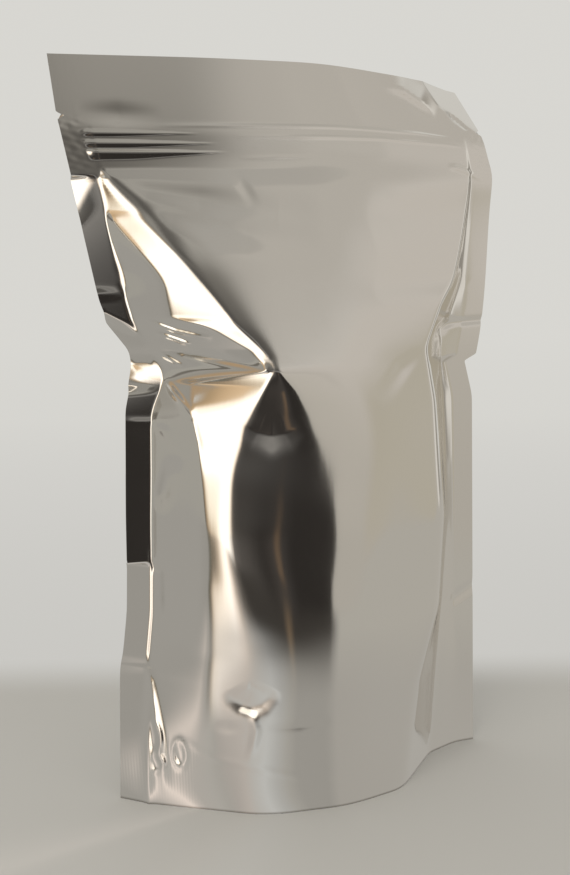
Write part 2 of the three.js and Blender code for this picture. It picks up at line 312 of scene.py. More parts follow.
# Folds of the front, from left to right, and its creases
FRONT_FOLDS = (
    # Edge of the flat facet by the left seal
    Fold(
        x=bent(
            (0, -45), (60, -45.2), (85, -46.6), (128, -46.6), (152, -48), (160, -46.5, 1.5),
            (165, -24.5, 1), (168, -25, 1.5), (171.6, -27.6, 2), (179.4, -40, 2), (182, -47, 1.5),
            (183.6, -53.6, 1.2), (197, -55.8), (219, -72), (FOLD_TOP, -SEAL_TOP), HEADER_LEFT, half=4,
        ),
        bulge=bent(
            (0, 16.2), (36, 20, 22), (66, 20.6, 18), (85, 21.3, 12), (BELLY, 22.3, 15), (128, 20.4, 8),
            (150, 17, 6), (160, 12.5, 1.5), (165, 33, 1), (168, 31.2, 1.5), (171.6, 28.8, 2),
            (179.4, 22, 2), (182, 17.8, 1.5), (183.6, 12, 1.2), (197, 13.2), (206, 8.8), (216, 2.6),
            (221, 0.2, 1.5), (FOLD_TOP, 0), FLAT_TOP, half=4,
        ),
        half=bent(
            (0, 8), (100, 4), (150, 2), (165, 0.8), (186, 2.5), (210, 3), (FOLD_TOP, 1), (HEIGHT, 1),
        ),
    ),
    # Crest of the ridge, and the bright line under it
    Fold(
        x=bent(
            (0, -31), (45, -30.4), (66, -32.2), (80, -35.2, 8), (94, -38, 8), (BELLY, -39.2, 10),
            (128, -37.2, 10), (150, -29.2), (KNEE, -22, 2), (169, -22.7, 2), (174.5, -26.8, 3),
            (181, -33.2, 4), (200, -46), (FOLD_TOP, -SEAL_TOP + 1), HEADER_LEFT, half=6,
        ),
        bulge=bent(
            (0, 27), (33, 29.2, 28), (70, 30.2, 28), (108, 28.3, 20), (132, 27.6, 12), (150, 29.4),
            (KNEE, 33.8, 2), (203, 17), (221, 5.2, 5), (APEX, 0, 1.5), FLAT_TOP, half=8,
        ),
        half=bent((0, 8), (60, 7), (105, 5), (150, 3), (KNEE, 0.8), (200, 4), (FOLD_TOP, 1), (HEIGHT, 1)),
    ),
    # Right flank of the ridge, and the broad turn of the belly under it
    Fold(
        x=bent(
            (0, -19.5), (52, -19.3), (BELLY, -21.9), (138, -15.8), (150, -14.2), (158, -15.8, 4),
            (KNEE, -20.8, 2), (170, -21.2, 3), (177, -24.6), (200, -37.5), (FOLD_TOP, -SEAL_TOP + 4),
            HEADER_LEFT, half=6,
        ),
        bulge=bent(
            (0, 32), (33, 35.5, 30), (70, 36.8, 30), (108, 35.7, 30), (138, 35, 20), (156, 35, 5),
            (KNEE, 34.6, 3), (203, 18.4), (221, 7.4, 5), (APEX - 2, 2.2, 2), (APEX + 2, 0.3, 1.5),
            (NOTCH - 2, 0, 2), FLAT_TOP, half=10,
        ),
        half=bent(
            (0, 12), (60, 14), (BELLY, 18), (138, 15.5), (158, 6.5), (KNEE, 1), (200, 13), (218, 12),
            (228, 7), (FOLD_TOP, 1), (HEIGHT, 1),
        ),
    ),
    # Crown of the panel
    Fold(
        x=bent((0, 4), (60, 4), (85, 5), (110, 9.5), (138, 15), (KNEE, 12), (HEIGHT, 12), half=12),
        bulge=bent(
            (0, 36.2), (33, 39.4), (70, 41), (108, 40), (138, 38), (KNEE, 34.5), (238, 1.6, 8),
            (NOTCH - 2, 0, 2), FLAT_TOP, half=32,
        ),
        half=level(18),
    ),
    # Shoulder by the right seal, and the foot of its slope
    Fold(
        x=bent(
            (0, 29), (40, 35.5), (70, 46), (BELLY, 49), (150, 46), (170, 42), (187, 52), (194, 60),
            (220, 73), (FOLD_TOP, SEAL_TOP - 1), HEADER_RIGHT,
        ),
        bulge=bent(
            (0, 30.2), (42, 29.4), (BELLY, 26), (170, 22.5), (187, 16.2), (194, 11.4), (220, 3),
            (238, 0.8), (NOTCH - 2, 0, 2), FLAT_TOP,
        ),
        half=bent((0, 8), (BELLY, 7), (150, 4), (175, 2), (FOLD_TOP, 1.5), (HEIGHT, 1.5)),
    ),
    Fold(
        x=bent((0, 53), (BELLY, 59.5), (170, 57), (194, 68), (FOLD_TOP, SEAL_TOP), HEADER_RIGHT, half=8),
        bulge=bent(
            (0, 5.7), (BELLY, 4.7), (170, 4), (194, 2.5), (220, 0.8), (FOLD_TOP, 0), FLAT_TOP, half=8,
        ),
        half=bent((0, 5), (150, 5), (180, 2), (HEIGHT, 2)),
    ),
)

FRONT_CREASES = (
    # Valley and crumples of the pinched left side
    sharp(
        (-24.5, 165.6, 0, 1.4), (-36, 168.6, -1.2, 2.6), (-47.5, 170.8, -1.15, 2.9), (-55, 172, 0, 2.8),
        lean=0.8,
    ),
    sharp(
        (-60, 182.4, 0, 1), (-56, 180.8, 1, 1.2), (-51.5, 178.9, 1, 1.2), (-46, 177.4, 0.8, 1.4),
        (-40, 176.2, 0, 1.6), lean=0.7,
    ),
    sharp((-57, 178, 0, 1), (-53.5, 176.8, 0.9, 1.1), (-49, 175, 0.9, 1.1), (-46, 174, 0, 1.2), lean=0.7),
    sharp((-60, 174.8, 0, 1), (-58.5, 172.5, 1, 1.1), (-57, 170, 0, 1)),
    sharp((-56.5, 172.4, 0, 1), (-53.8, 169.4, 0.9, 1.1), (-50, 167, 0.7, 1.1), (-47, 165.6, 0, 1)),
    sharp(
        (-57, 168, 0, 1.2), (-55, 163, 1.4, 1.6), (-53.3, 160, 2.1, 1.7), (-50.5, 154.5, 1.9, 1.6),
        (-47.6, 148, 0, 1.3),
    ),
    sharp((-53.3, 160, 1.7, 1.5), (-57, 152, 1.6, 1.4), (-60, 145.5, 0, 1.2)),
    sharp((-48.5, 152, 0, 2), (-47.6, 147, 0.4, 2), (-46, 139, 0.4, 2), (-45.2, 128, 0, 2)),
    sharp((-60, 145.5, 0, 2), (-55.5, 142.5, -0.9, 2.4), (-52.5, 136, 0, 2.4)),
    # Soft dashes on the left panel
    soft((-52.4, 133, 0, 3), (-53.5, 127, -1.5, 3.4), (-56, 118, -1.5, 3.4), (-57.5, 112, 0, 3)),
    soft((-56, 94, 0, 2.6), (-55.9, 88, -1.2, 2.8), (-56, 78, -1.2, 2.8), (-56.5, 71, 0, 2.6)),
    # Dent under the vertex
    sharp(
        (-33, 147, 0, 4), (-27, 143.4, -0.5, 6), (-22.5, 142.4, -0.8, 7), (-18, 143, -0.5, 6),
        (-12, 146, 0, 4),
    ),
    # Waves that fan out under the zipper
    soft((-72, 233, 0, 2), (-58, 228.5, -0.5, 5), (-40, 225, -0.6, 7), (-12, 220, 0, 9)),
    soft((-68, 229, 0, 2), (-50, 219, -0.4, 6), (-25, 212, -0.4, 9), (4, 207, 0, 9)),
    soft((-27, 236, 0, 3), (-24, 230, -0.3, 3.5), (-20, 222, 0, 3)),
    # Pinch of the right side
    sharp((74, 179.5, 0, 3), (66, 177.5, -2.2, 4), (57, 175, -2.8, 4), (50, 174, 0, 3), tip=0.1),
    sharp((74.4, 231, 0, 1.5), (73, 217, -0.7, 2), (67, 200, -1.3, 3), (58, 189, 0, 2)),
    sharp((57.6, 173, 0, 2), (58.5, 162, -1.2, 2.4), (59, 150, 0, 2)),
    soft((40, 169, 0, 3), (30, 163, -0.6, 5), (18, 152, 0, 6)),
    # Y-shaped dimple, seal line and punch marks of the foot
    sharp(
        (-39, 47, 0, 3), (-36.5, 44, -0.45, 3.6), (-34, 42.4, -0.75, 4), (-31, 41.6, -0.8, 4.2),
        (-28, 43, -0.75, 4), (-25, 46.4, -0.6, 3.6), (-23.5, 49, 0, 3), lean=2.5,
    ),
    sharp((-31, 40, 0, 2), (-29.8, 33, 0.45, 2.2), (-30.9, 27, 0.4, 2), (-32.8, 20, 0, 2)),
    soft((-27, 34.5, 0, 3), (-15, 35, -0.4, 3.5), (-3, 35.6, 0, 3)),
    soft((-44, 33, 0, 3), (-39, 33, -0.15, 3.5), (-33, 33.4, 0, 3)),
    sharp(
        (-56, 28, 0, 1.5), (-45, 21, 0.2, 1.6), (-31, 18.5, 0.2, 1.5), (-3, 11, 0.2, 1.6),
        (10, 9.5, 0, 1.5),
    ),
    Dimple(-63, 25.5, 2.4, 6, 0.9, 0.6),
    Dimple(-62.6, 15.5, 2.6, 3, 0.5, 0.5),
    Dimple(-54.7, 20.4, 2.2, 5, 0.35, 0.3),
)

FRONT_PANEL = Panel(FRONT_FOLDS, FRONT_CREASES)

# The back's plainer folds, and the pinches of its sides
BACK_FOLDS = (
    Fold(
        x=bent((0, -55), (60, -56), (BACK_KNEE, -50), (FOLD_TOP, -SEAL_TOP - 1), HEADER_LEFT, half=8),
        bulge=bent((0, 6.8), (60, 12.5), (BACK_KNEE, 10), (FOLD_TOP, 0), FLAT_TOP, half=8),
        half=level(5),
    ),
    Fold(
        x=bent((0, -36), (BELLY, -42), (BACK_KNEE, -38), (FOLD_TOP, -SEAL_TOP), HEADER_LEFT, half=6),
        bulge=bent((0, 34), (BELLY, 31), (BACK_KNEE, 25), (FOLD_TOP, 0), FLAT_TOP, half=6),
        half=level(10),
    ),
    Fold(
        x=level(-4),
        bulge=bent(
            (0, BACK_DEPTH + 2), (BELLY, BACK_DEPTH), (BACK_KNEE, 30), (BULGE_TOP, 0, 5), FLAT_TOP,
            half=30,
        ),
        half=level(28),
    ),
    Fold(
        x=bent((0, 36), (BELLY, 42), (BACK_KNEE, 34), (FOLD_TOP, SEAL_TOP), HEADER_RIGHT, half=6),
        bulge=bent((0, 34), (BELLY, 31), (BACK_KNEE, 26), (FOLD_TOP, 0), FLAT_TOP, half=6),
        half=level(10),
    ),
    Fold(
        x=bent((0, 55), (60, 57), (BACK_KNEE, 51), (FOLD_TOP, SEAL_TOP + 1), HEADER_RIGHT, half=8),
        bulge=bent((0, 6.8), (60, 12.5), (BACK_KNEE, 10), (FOLD_TOP, 0), FLAT_TOP, half=8),
        half=level(5),
    ),
)

BACK_CREASES = (
    sharp((-54, KNEE - 2, 0, 12), (-45, 156, -3, 12), (-36, BACK_KNEE, 0, 12), tip=0.2),
    sharp((64, KNEE - 2, 0, 12), (49, 156, -4, 12), (34, BACK_KNEE, 0, 12), tip=0.2),
)

BACK_PANEL = Panel(BACK_FOLDS, BACK_CREASES)

# Creases of the seals and the header, and fine lines of the zipper
SHEET_CREASES = (
    soft((-80, 255.5, 0, 5), (-66, 255, -0.4, 6), (-50, 254.5, 0, 5)),
    sharp((40, 272, 0, 2.5), (50, 270.5, 1.2, 2.5), (58, 266.5, 1.2, 2.5), (65, 262, 0, 2), lean=4),
    sharp(
        (-55, 251.2, 0, 0.9), (-17, 251.7, 0.2, 1.1), (17, 252.2, 0.3, 1), (54, 252, 0.25, 0.8),
        (73, 251, 0, 0.6),
    ),
    sharp(
        (-25, 247.6, 0, 0.9), (0, 248, 0.18, 1), (34, 248.6, 0.25, 0.9), (66, 248, 0.18, 0.7),
        (76, 247.4, 0, 0.6),
    ),
    sharp((-24, 239.6, 0, 1), (-9, 240.2, 0.16, 1), (15, 240.8, 0, 1)),
    sharp((-76, 50.4, 0.22, 4), (-64, 51.2, 0.22, 4), lean=0.3),
    sharp((-76, 192, 0.5, 2), (-66, 192, 0, 2)),
    sharp((57, 176.5, 0, 1.5), (62, 177.3, -0.9, 2), (70, 177.6, -0.9, 2.2), (80, 178, -0.7, 2.2)),
    sharp((71, 264.8, 0, 1.2), (74.5, 261, -1, 1.2), (77.5, 258.3, -1, 1.2), (80.5, 255.5, 0, 1)),
    sharp(
        (-63, 51, 0.2, 1.2), (-62.4, 46, 0.75, 1.5), (-61.8, 32, 0.95, 1.8), (-61, 18, 0.8, 2),
        (-60.3, 4, 0, 2.2), lean=1.5,
    ),
    sharp((60, 58, 0, 3), (68, 64, -0.6, 3.5), (77, 69, -0.6, 3.5)),
    sharp((-70, 146, 0, 2), (-64, 145.2, 0.3, 2), (-59.5, 145, 0.3, 2)),
    soft((66, 238.6, 0, 2), (70, 238.6, 0.4, 2), (78, 236.4, 0.3, 2), (84, 234, 0, 2)),
    sharp((-72, 165.5, -0.8, 5), (-63, 166, -0.8, 5), (-57, 167, 0, 4)),
)


@dataclass
class MiddleSheet:
    """The sheet between the panels: side edges, tear notches, the bow and lean of the header.

    The left seal swings out by flange_turn degrees, past a line that flange_hinge moves and along
    lines that flange_slant tilts. The header leans back in two folds, and its top right corner
    folds back at ear_line. Crush is the ripple of the seals beside the zipper.
    """

    left: BentLine = bent(
        (0, -75), (50, -71.8), (57, -70.6, 3), (72, -68.7), (90, -68, 1), (93, -69.3, 1), (110, -69),
        (150, -67.7), (166, -63.5, 4), (171, -64.6, 3), (182, -72.8, 3), (190, -75.8, 4), (215, -80.5),
        (NOTCH, -HEADER_HALF), (HEIGHT, -HEADER_HALF - 1.5),
    )
    right: BentLine = bent(
        (0, BASE_HALF), (KNEE - 17, 74), (KNEE - 3, 70.4, 0.8), (KNEE - 0.4, 75.6, 0.8),
        (KNEE + 12, 78.2, 2), (FOLD_TOP, HEADER_HALF + 2.8), (NOTCH, HEADER_HALF),
        (HEIGHT, HEADER_HALF - 1.5),
    )
    bow: BentLine = bent((-HEADER_HALF, 2), (-32, -4), (18, -4), (46, 1), (HEADER_HALF, 12), half=22)
    lean: BentLine = bent((-HEADER_HALF, 15.5), (8, 16), (65, 28), (HEADER_HALF, 29), half=20)
    flange_turn: BentLine = bent(
        (0, 46), (47, 45, 3), (54, 42, 2), (91.2, 42, 0.2), (91.8, 4, 0.2), (150, 4), (155.5, 5, 1),
        (158.5, 22, 1), (169, 37.5, 2), (172, 39, 2), (176, 39, 1), (180, 3, 1), (223, 2, 3),
        (236, 19, 1.5), (244, 20, 1), (HEIGHT, 20), half=8,
    )
    flange_slant: BentLine = bent(
        (0, 0), (174, 0), (180, 0.6), (198, 0.6), (206, 0), (212, -0.7), (HEIGHT, -0.7), half=3,
    )
    flange_hinge: BentLine = bent(
        (0, 0), (50, 0), (56, 1.3), (96, 1.3), (102, 0), (146, 0), (160, -3, 2), (172, 2), (184, 0),
        (HEIGHT, 0), half=3,
    )
    foot_sway: BentLine = bent((0, -7), (48, 0), (HEIGHT, 0), half=20)
    sway_share: BentLine = bent((-HEADER_HALF, 1.35), (-10, 0), (HEADER_HALF, 0), half=12)
    creases: tuple[Crease, ...] = SHEET_CREASES
    crush: Ripple = Ripple(0.04, 3.4, seed=3)
    crush_side: tuple[float, float] = (SEAL_WIDTH + 1.0, SEAL_WIDTH - 3.0)
    crush_foot: tuple[float, float] = (FOLD_TOP - 3.0, FOLD_TOP + 2.0)
    crush_top: tuple[float, float] = (NOTCH + 1.0, NOTCH - 4.0)
    hinge_half: float = 0.3
    swing_end: tuple[float, float] = (APEX + 0.3, APEX - 1.7)
    first_lean: float = 0.6
    first_fold: float = APEX - 1.0
    first_half: BentLine = bent((-HEADER_HALF, 1.2), (-70, 1.2), (-45, 7), (HEADER_HALF, 8), half=5)
    second_fold: tuple[float, float] = (NOTCH - 5.0, 4.0)
    notch_depth: float = 2.6
    notch_half: float = 1.3
    ear_angle: float = math.radians(24)
    ear_line: Knots = ((62.5, HEIGHT), (68.0, 266.5), (HEADER_HALF + 1.0, NOTCH - 1))
    ear_half: float = 1.6

    def edges(self, z: Array) -> tuple[Array, Array]:
        """The film's side edges.

        Args:
            z: heights.

        Returns:
            The left edge's and the right edge's x at each height, with the tear notches.
        """
        cut = self.notch_depth * np.maximum(0.0, 1.0 - np.abs(z - NOTCH) / self.notch_half)
        return self.left(z) + cut, self.right(z) - cut

    def depth(self, x: Array, z: Array) -> Array:
        """The sheet's y before the header leans.

        Args:
            x: places across.
            z: heights.

        Returns:
            The depth at each place.
        """
        bow = self.bow(x) * smoothstep(KNEE, FOLD_TOP, z)
        outside = self.left(z) + SEAL_WIDTH - x
        turn = self.flange_turn(z - self.flange_slant(z) * np.maximum(0.0, outside))
        swung = np.tan(np.radians(turn)) * ramp(outside - self.flange_hinge(z), self.hinge_half)
        swung = swung * smoothstep(*self.swing_end, z)
        sway = self.foot_sway(z) * self.sway_share(x)
        edge = np.minimum(x - self.left(z), self.right(z) - x)
        crushed = smoothstep(*self.crush_side, edge) * smoothstep(*self.crush_foot, z)
        crushed = crushed * smoothstep(*self.crush_top, z)
        lifted = sum(crease.relief(x, z) for crease in self.creases) + crushed * self.crush(x, z)
        return bow + swung + sway - lifted

    def bend(self, x: Array, y: Array, z: Array) -> Array:
        """Leans the header back and folds its top right corner.

        Args:
            x: places across.
            y: depths before the bends.
            z: heights before the bends.

        Returns:
            The bent points, with x, y and z along the last axis.
        """
        full = np.radians(self.lean(x))
        part = full * self.first_lean
        first = ramp(z - self.first_fold, self.first_half(x))
        second = ramp(z - self.second_fold[0], self.second_fold[1])
        out_y = y + first * np.sin(part) + second * (np.sin(full) - np.sin(part))
        out_z = z - first * (1.0 - np.cos(part)) - second * (np.cos(part) - np.cos(full))
        beyond = np.full(x.shape, np.inf)
        for top, foot in zip(self.ear_line[:-1], self.ear_line[1:]):
            line = np.subtract(top, foot) / math.dist(top, foot)
            beyond = np.minimum(beyond, (x - foot[0]) * line[1] - (z - foot[1]) * line[0])
        turned = ramp(beyond, self.ear_half)
        shift = turned * (1.0 - math.cos(self.ear_angle))
        out_x = x - line[1] * shift
        out_z = out_z + line[0] * shift
        out_y = out_y + turned * math.sin(self.ear_angle)
        return np.stack([out_x, out_y, out_z], axis=-1)


@dataclass
class ZipperBand:
    """The press-to-close zipper, seen through the film as ribs that taper off to the right.

    Each rib is (height, relief, width below its crest, width above it) at the left end, and how
    much sooner than the taper it ends.
    """

    ribs: Knots = ((241.8, 1.15, 3.8, 1.0, 0), (244.9, 0.8, 2.5, 1.3, 3), (248.4, 0.65, 1.9, 1.6, 9))
    taper: BentLine = bent((-HEADER_HALF, 1.0), (-60, 0.86), (-30, 0.1), (HEADER_HALF, 0.1), half=6)
    right_end: tuple[float, float] = (-27.0, -34.0)
    side_end: tuple[float, float] = (SEAL_WIDTH - 3.0, SEAL_WIDTH + 1.0)

    def lift(self, inside: Array, x: Array, z: Array) -> Array:
        """How far the ribs lift the film.

        Args:
            inside: distances from the nearer side edge.
            x: places across.
            z: heights.

        Returns:
            The lift at each place.
        """
        total = np.zeros(x.shape)
        for height, relief, below, above, sooner in self.ribs:
            size = self.taper(x + sooner)
            away = np.abs(z - height) / (size * np.where(z < height, below, above))
            crest = np.cos(np.minimum(1.0, away) * np.pi / 2.0) ** 2
            total = total + relief * size * crest * smoothstep(*self.right_end, x + sooner)
        return total * smoothstep(*self.side_end, inside)


@dataclass
class FilmForm:
    """The pouch's film as a function of where a point is on it."""

    sheet: MiddleSheet = field(default_factory=MiddleSheet)
    zipper: ZipperBand = field(default_factory=ZipperBand)
    seal_half: BentLine = bent(
        (0, 6), (36, 5), (50, 0.9, 3), (178, 0.9, 2), (184, 2.2, 2), (190, 2, 1), (192, 0.9, 0.8),
        (195, 4.2, 1.5), (203, 3.6, 3), (212, 0.9, 3), (216, 0.35, 2), (HEIGHT, 0.35), half=6,
    )
    seal_shift: BentLine = bent(
        (0, 0), (48, 0), (56, -0.65), (88, -0.6, 2), (93, 0.2, 1), (124, 0.5, 8), (146, 0.4, 2),
        (160, 3, 2), (172, -2), (184, 0), (200, 1.2), (212, 0), (HEIGHT, 0), half=3,
    )
    least_span: float = 3.0
    crease_bulge: float = 6.0
    waves: Ripple = Ripple(0.08, 34.0, seed=7)

    def bulge(self, panel: Panel, x: Array, z: Array) -> Array:
        """How far a panel stands out from the middle sheet, before its creases.

        Args:
            panel: the panel's folds.
            x: places across, one row for each height.
            z: heights, as one column.

        Returns:
            The bulge at each place.
        """
        left_seal = self.sheet.left(z) + SEAL_WIDTH + self.seal_shift(z)
        right_seal = self.sheet.right(z) - SEAL_WIDTH
        gap = self.least_span / len(panel.folds)
        nothing = np.zeros_like(z)
        seal_half = self.seal_half(z)
        folds = [(left_seal, nothing, seal_half)]
        for count, fold in enumerate(panel.folds):
            low = folds[-1][0] + gap
            high = right_seal - gap * (len(panel.folds) - count)
            place = np.clip(fold.x(z), low, high)
            folds.append((place, np.maximum(0.0, fold.bulge(z)), np.maximum(gap / 2.0, fold.half(z))))
        folds.append((right_seal, nothing, seal_half))
        total = np.zeros_like(x)
        before: Array | float = 0.0
        for fold, after in zip(folds, [*folds[1:], None]):
            slope = 0.0 if after is None else (after[1] - fold[1]) / (after[0] - fold[0])
            total = total + (slope - before) * ramp(x - fold[0], fold[2])
            before = slope
        return np.maximum(0.0, total)

    def points(self, side: Side, x: Array, z: Array) -> Array:
        """Points of a panel.

        Args:
            side: which panel.
            x: places across, one row for each height.
            z: heights, as one column.

        Returns:
            The points in film coordinates, with x, y and z along the last axis.
        """
        front = side is Side.FRONT
        panel = FRONT_PANEL if front else BACK_PANEL
        stand = self.bulge(panel, x, z)
        heights = np.broadcast_to(z, x.shape)
        creases = sum(crease.relief(x, heights) for crease in panel.creases)
        inside = np.minimum(x - self.sheet.left(z), self.sheet.right(z) - x)
        full = smoothstep(0.0, self.crease_bulge, stand)
        lift = creases * full + self.waves(x, heights) * full + self.zipper.lift(inside, x, heights)
        y = self.sheet.depth(x, heights) + side.value * (EDGE_THICKNESS / 2.0 + stand + lift)
        return self.sheet.bend(x, y, heights)


@dataclass
class FilmGrid:
    """Where the grid lines of a panel run, closer together where the film is creased.

    Columns are (share of the width, steps up to the next) and rows are (height, steps).
    """

    columns: Knots = ((0.0, 16), (0.06, 112), (0.42, 50), (0.76, 62), (1.0, 0))
    rows: Knots = (
        (0.0, 2), (1.0, 6), (8.0, 36), (48.0, 12), (54.0, 24), (88.0, 12), (95.0, 32), (140.0, 26),
        (156.0, 48), (170.0, 34), (186.0, 40), (232.0, 54), (253.0, 10), (258.0, 14), (HEIGHT, 0),
    )

    @staticmethod
    def spread(knots: Knots, thin: int) -> Array:
        """Grid lines from knots.

        Args:
            knots: (place, steps up to the next knot).
            thin: keep each line of this many.

        Returns:
            The places of the lines.
        """
        runs = [
            np.linspace(start[0], end[0], int(start[1]), endpoint=False)
            for start, end in zip(knots[:-1], knots[1:])
        ]
        return np.concatenate([*runs, [knots[-1][0]]])[::thin]


@dataclass
class Tree:
    """A new material, with short ways to fill its node tree."""

    name: str
    material: bpy.types.Material = field(init=False)
    nodes: bpy.types.Nodes = field(init=False)

    def __post_init__(self) -> None:
        """Makes the material with its first shader and its output."""
        self.material = bpy.data.materials.new(self.name)
        self.material.use_nodes = True
        self.nodes = self.material.node_tree.nodes

    @property
    def shader(self) -> bpy.types.Node:
        """The shader that the material starts with."""
        return self.nodes["Principled BSDF"]

    def feed(self, socket: Socket, value: Feed) -> None:
        """Sets an input, or links it to the socket that gives its value.

        Args:
            socket: the input.
            value: what it takes.
        """
        if isinstance(value, Socket):
            self.material.node_tree.links.new(value, socket)
        else:
            socket.default_value = value

    def fill(self, node: bpy.types.Node, feeds: dict[str | int, Feed]) -> bpy.types.NodeOutputs:
        """Feeds inputs of a node.

        Args:
            node: the node.
            feeds: what the inputs take, by their names or numbers.

        Returns:
            The node's outputs.
        """
        for key, value in feeds.items():
            self.feed(node.inputs[key], value)
        return node.outputs

    def add(self, kind: str, feeds: dict[str | int, Feed], **settings: str) -> bpy.types.NodeOutputs:
        """Adds a node.

        Args:
            kind: its type, without the prefix.
            feeds: what its inputs take, by their names or numbers.
            settings: its other properties.

        Returns:
            The node's outputs.
        """
        node = self.nodes.new("ShaderNode" + kind)
        for key, value in settings.items():
            setattr(node, key, value)
        return self.fill(node, feeds)

    def place(self) -> Socket:
        """Where a point is on the object."""
        return self.add("TexCoord", {})["Object"]

    def axes(self, vector: Socket) -> bpy.types.NodeOutputs:
        """A vector's X, Y and Z."""
        return self.add("SeparateXYZ", {"Vector": vector})

    def attribute(self, name: str) -> Socket:
        """A value that the mesh stores."""
        return self.add("Attribute", {}, attribute_name=name)["Fac"]

    def times(self, first: Socket, second: Feed) -> Socket:
        """The product of two values."""
        return self.add("Math", {0: first, 1: second}, operation="MULTIPLY")["Value"]

    def share(self, value: Socket, low: float, high: float, kind: str = "LINEAR") -> Socket:
        """How far a value is on its way from one end to another, from 0 to 1."""
        feeds = {"Value": value, "From Min": low, "From Max": high}
        return self.add("MapRange", feeds, interpolation_type=kind)["Result"]

    def soft_share(self, value: Socket, low: float, high: float) -> Socket:
        """The same as share, with a soft start and end."""
        return self.share(value, low, high, "SMOOTHSTEP")

    def colours(self, share: Socket, stops: Knots) -> Socket:
        """Adds a run of colours.

        Args:
            share: how far along it to look.
            stops: (share of the way, red, green, blue).

        Returns:
            The colour there.
        """
        node = self.nodes.new("ShaderNodeValToRGB")
        elements = node.color_ramp.elements
        while len(elements) < len(stops):
            elements.new(0.5)
        for element, stop in zip(elements, stops):
            element.position = stop[0]
            element.color = (*stop[1:], 1.0)
        return self.fill(node, {"Fac": share})["Color"]

    def blend(self, share: Socket, first: Feed, second: Feed) -> Socket:
        """Mixes two colours.

        Args:
            share: how much of the second one to take.
            first: a colour.
            second: another colour.

        Returns:
            The mixed colour.
        """
        node = self.nodes.new("ShaderNodeMix")
        node.data_type = "RGBA"
        self.feed(node.inputs["Factor"], share)
        for socket, colour in zip((slot for slot in node.inputs if slot.type == "RGBA"), (first, second)):
            self.feed(socket, colour)
        return next(slot for slot in node.outputs if slot.type == "RGBA")

    def cover(self, under: Socket, over: Socket, shown: Feed) -> bpy.types.Material:
        """Ends the material with one shader over another.

        Args:
            under: the lower shader.
            over: the upper shader.
            shown: how much of the upper one shows.

        Returns:
            The material.
        """
        laid = self.add("MixShader", {"Fac": shown, 1: under, 2: over})["Shader"]
        self.feed(self.nodes["Material Output"].inputs["Surface"], laid)
        return self.material

    def glow(self, colour: Socket, shown: Feed) -> bpy.types.Material:
        """Ends the material as plain light, clear where it doesn't show.

        Args:
            colour: the light's colour.
            shown: how much of it shows.

        Returns:
            The material.
        """
        self.nodes.remove(self.shader)
        clear = self.add("BsdfTransparent", {})["BSDF"]
        return self.cover(clear, self.add("Emission", {"Color": colour})["Emission"], shown)


@dataclass(frozen=True)
class FoilFinish:
    """Metallised film: a bright warm mirror, a little satin, with faint streaks along its length."""

    colour: tuple[float, ...] = (0.80, 0.775, 0.735, 1.0)
    # Colour of the darker foot: the film's cut edge, with painted contact shade over it
    edge_and_shade_colour: tuple[float, ...] = (0.28, 0.26, 0.23, 1.0)
    roughness: tuple[float, float] = (0.07, 0.12)
    blotch_scale: float = 60.0
    blotch_detail: float = 4.0
    streak_scale: tuple[float, float, float] = (900.0, 900.0, 12.0)
    streak_detail: float = 2.0
    streak_strength: float = 0.015
    knurl_scale: float = 330.0
    knurl_strength: float = 0.03
    relief: float = 0.0002

    def material(self) -> bpy.types.Material:
        """Builds the finish.

        Returns:
            A node material.
        """
        tree = Tree("foil_film")
        place = tree.place()
        feeds = {"Vector": place, "Scale": self.blotch_scale, "Detail": self.blotch_detail}
        blotch = tree.add("TexNoise", feeds)["Fac"]
        low, high = self.roughness
        satin = tree.add("MapRange", {"Value": blotch, "To Min": low, "To Max": high})["Result"]
        drawn = tree.add("Mapping", {"Vector": place, "Scale": self.streak_scale})["Vector"]
        feeds = {"Vector": drawn, "Scale": 1.0, "Detail": self.streak_detail}
        streak = tree.add("TexNoise", feeds)["Fac"]
        feeds = {"Height": streak, "Strength": self.streak_strength, "Distance": self.relief}
        streaked = tree.add("Bump", feeds)["Normal"]
        knurl = tree.add("TexWave", {"Vector": place, "Scale": self.knurl_scale})["Fac"]
        strength = tree.times(tree.attribute("knurl"), self.knurl_strength)
        feeds = {"Height": knurl, "Strength": strength, "Distance": self.relief, "Normal": streaked}
        normal = tree.add("Bump", feeds)["Normal"]
        # Darker at the foot: the film's cut edge, with painted contact shade
        colour = tree.blend(tree.attribute("cut"), self.colour, self.edge_and_shade_colour)
        feeds = {"Metallic": 1.0, "Base Color": colour, "Roughness": satin, "Normal": normal}
        tree.fill(tree.shader, feeds)
        return tree.material


def linked(name: str, bm: bmesh.types.BMesh) -> bpy.types.Object:
    """Makes an object of a finished mesh.

    Args:
        name: the object's name.
        bm: the mesh, freed here.

    Returns:
        The object, linked to the scene.
    """
    mesh = bpy.data.meshes.new(name)
    bm.to_mesh(mesh)
    bm.free()
    made = bpy.data.objects.new(name, mesh)
    bpy.context.scene.collection.objects.link(made)
    return made


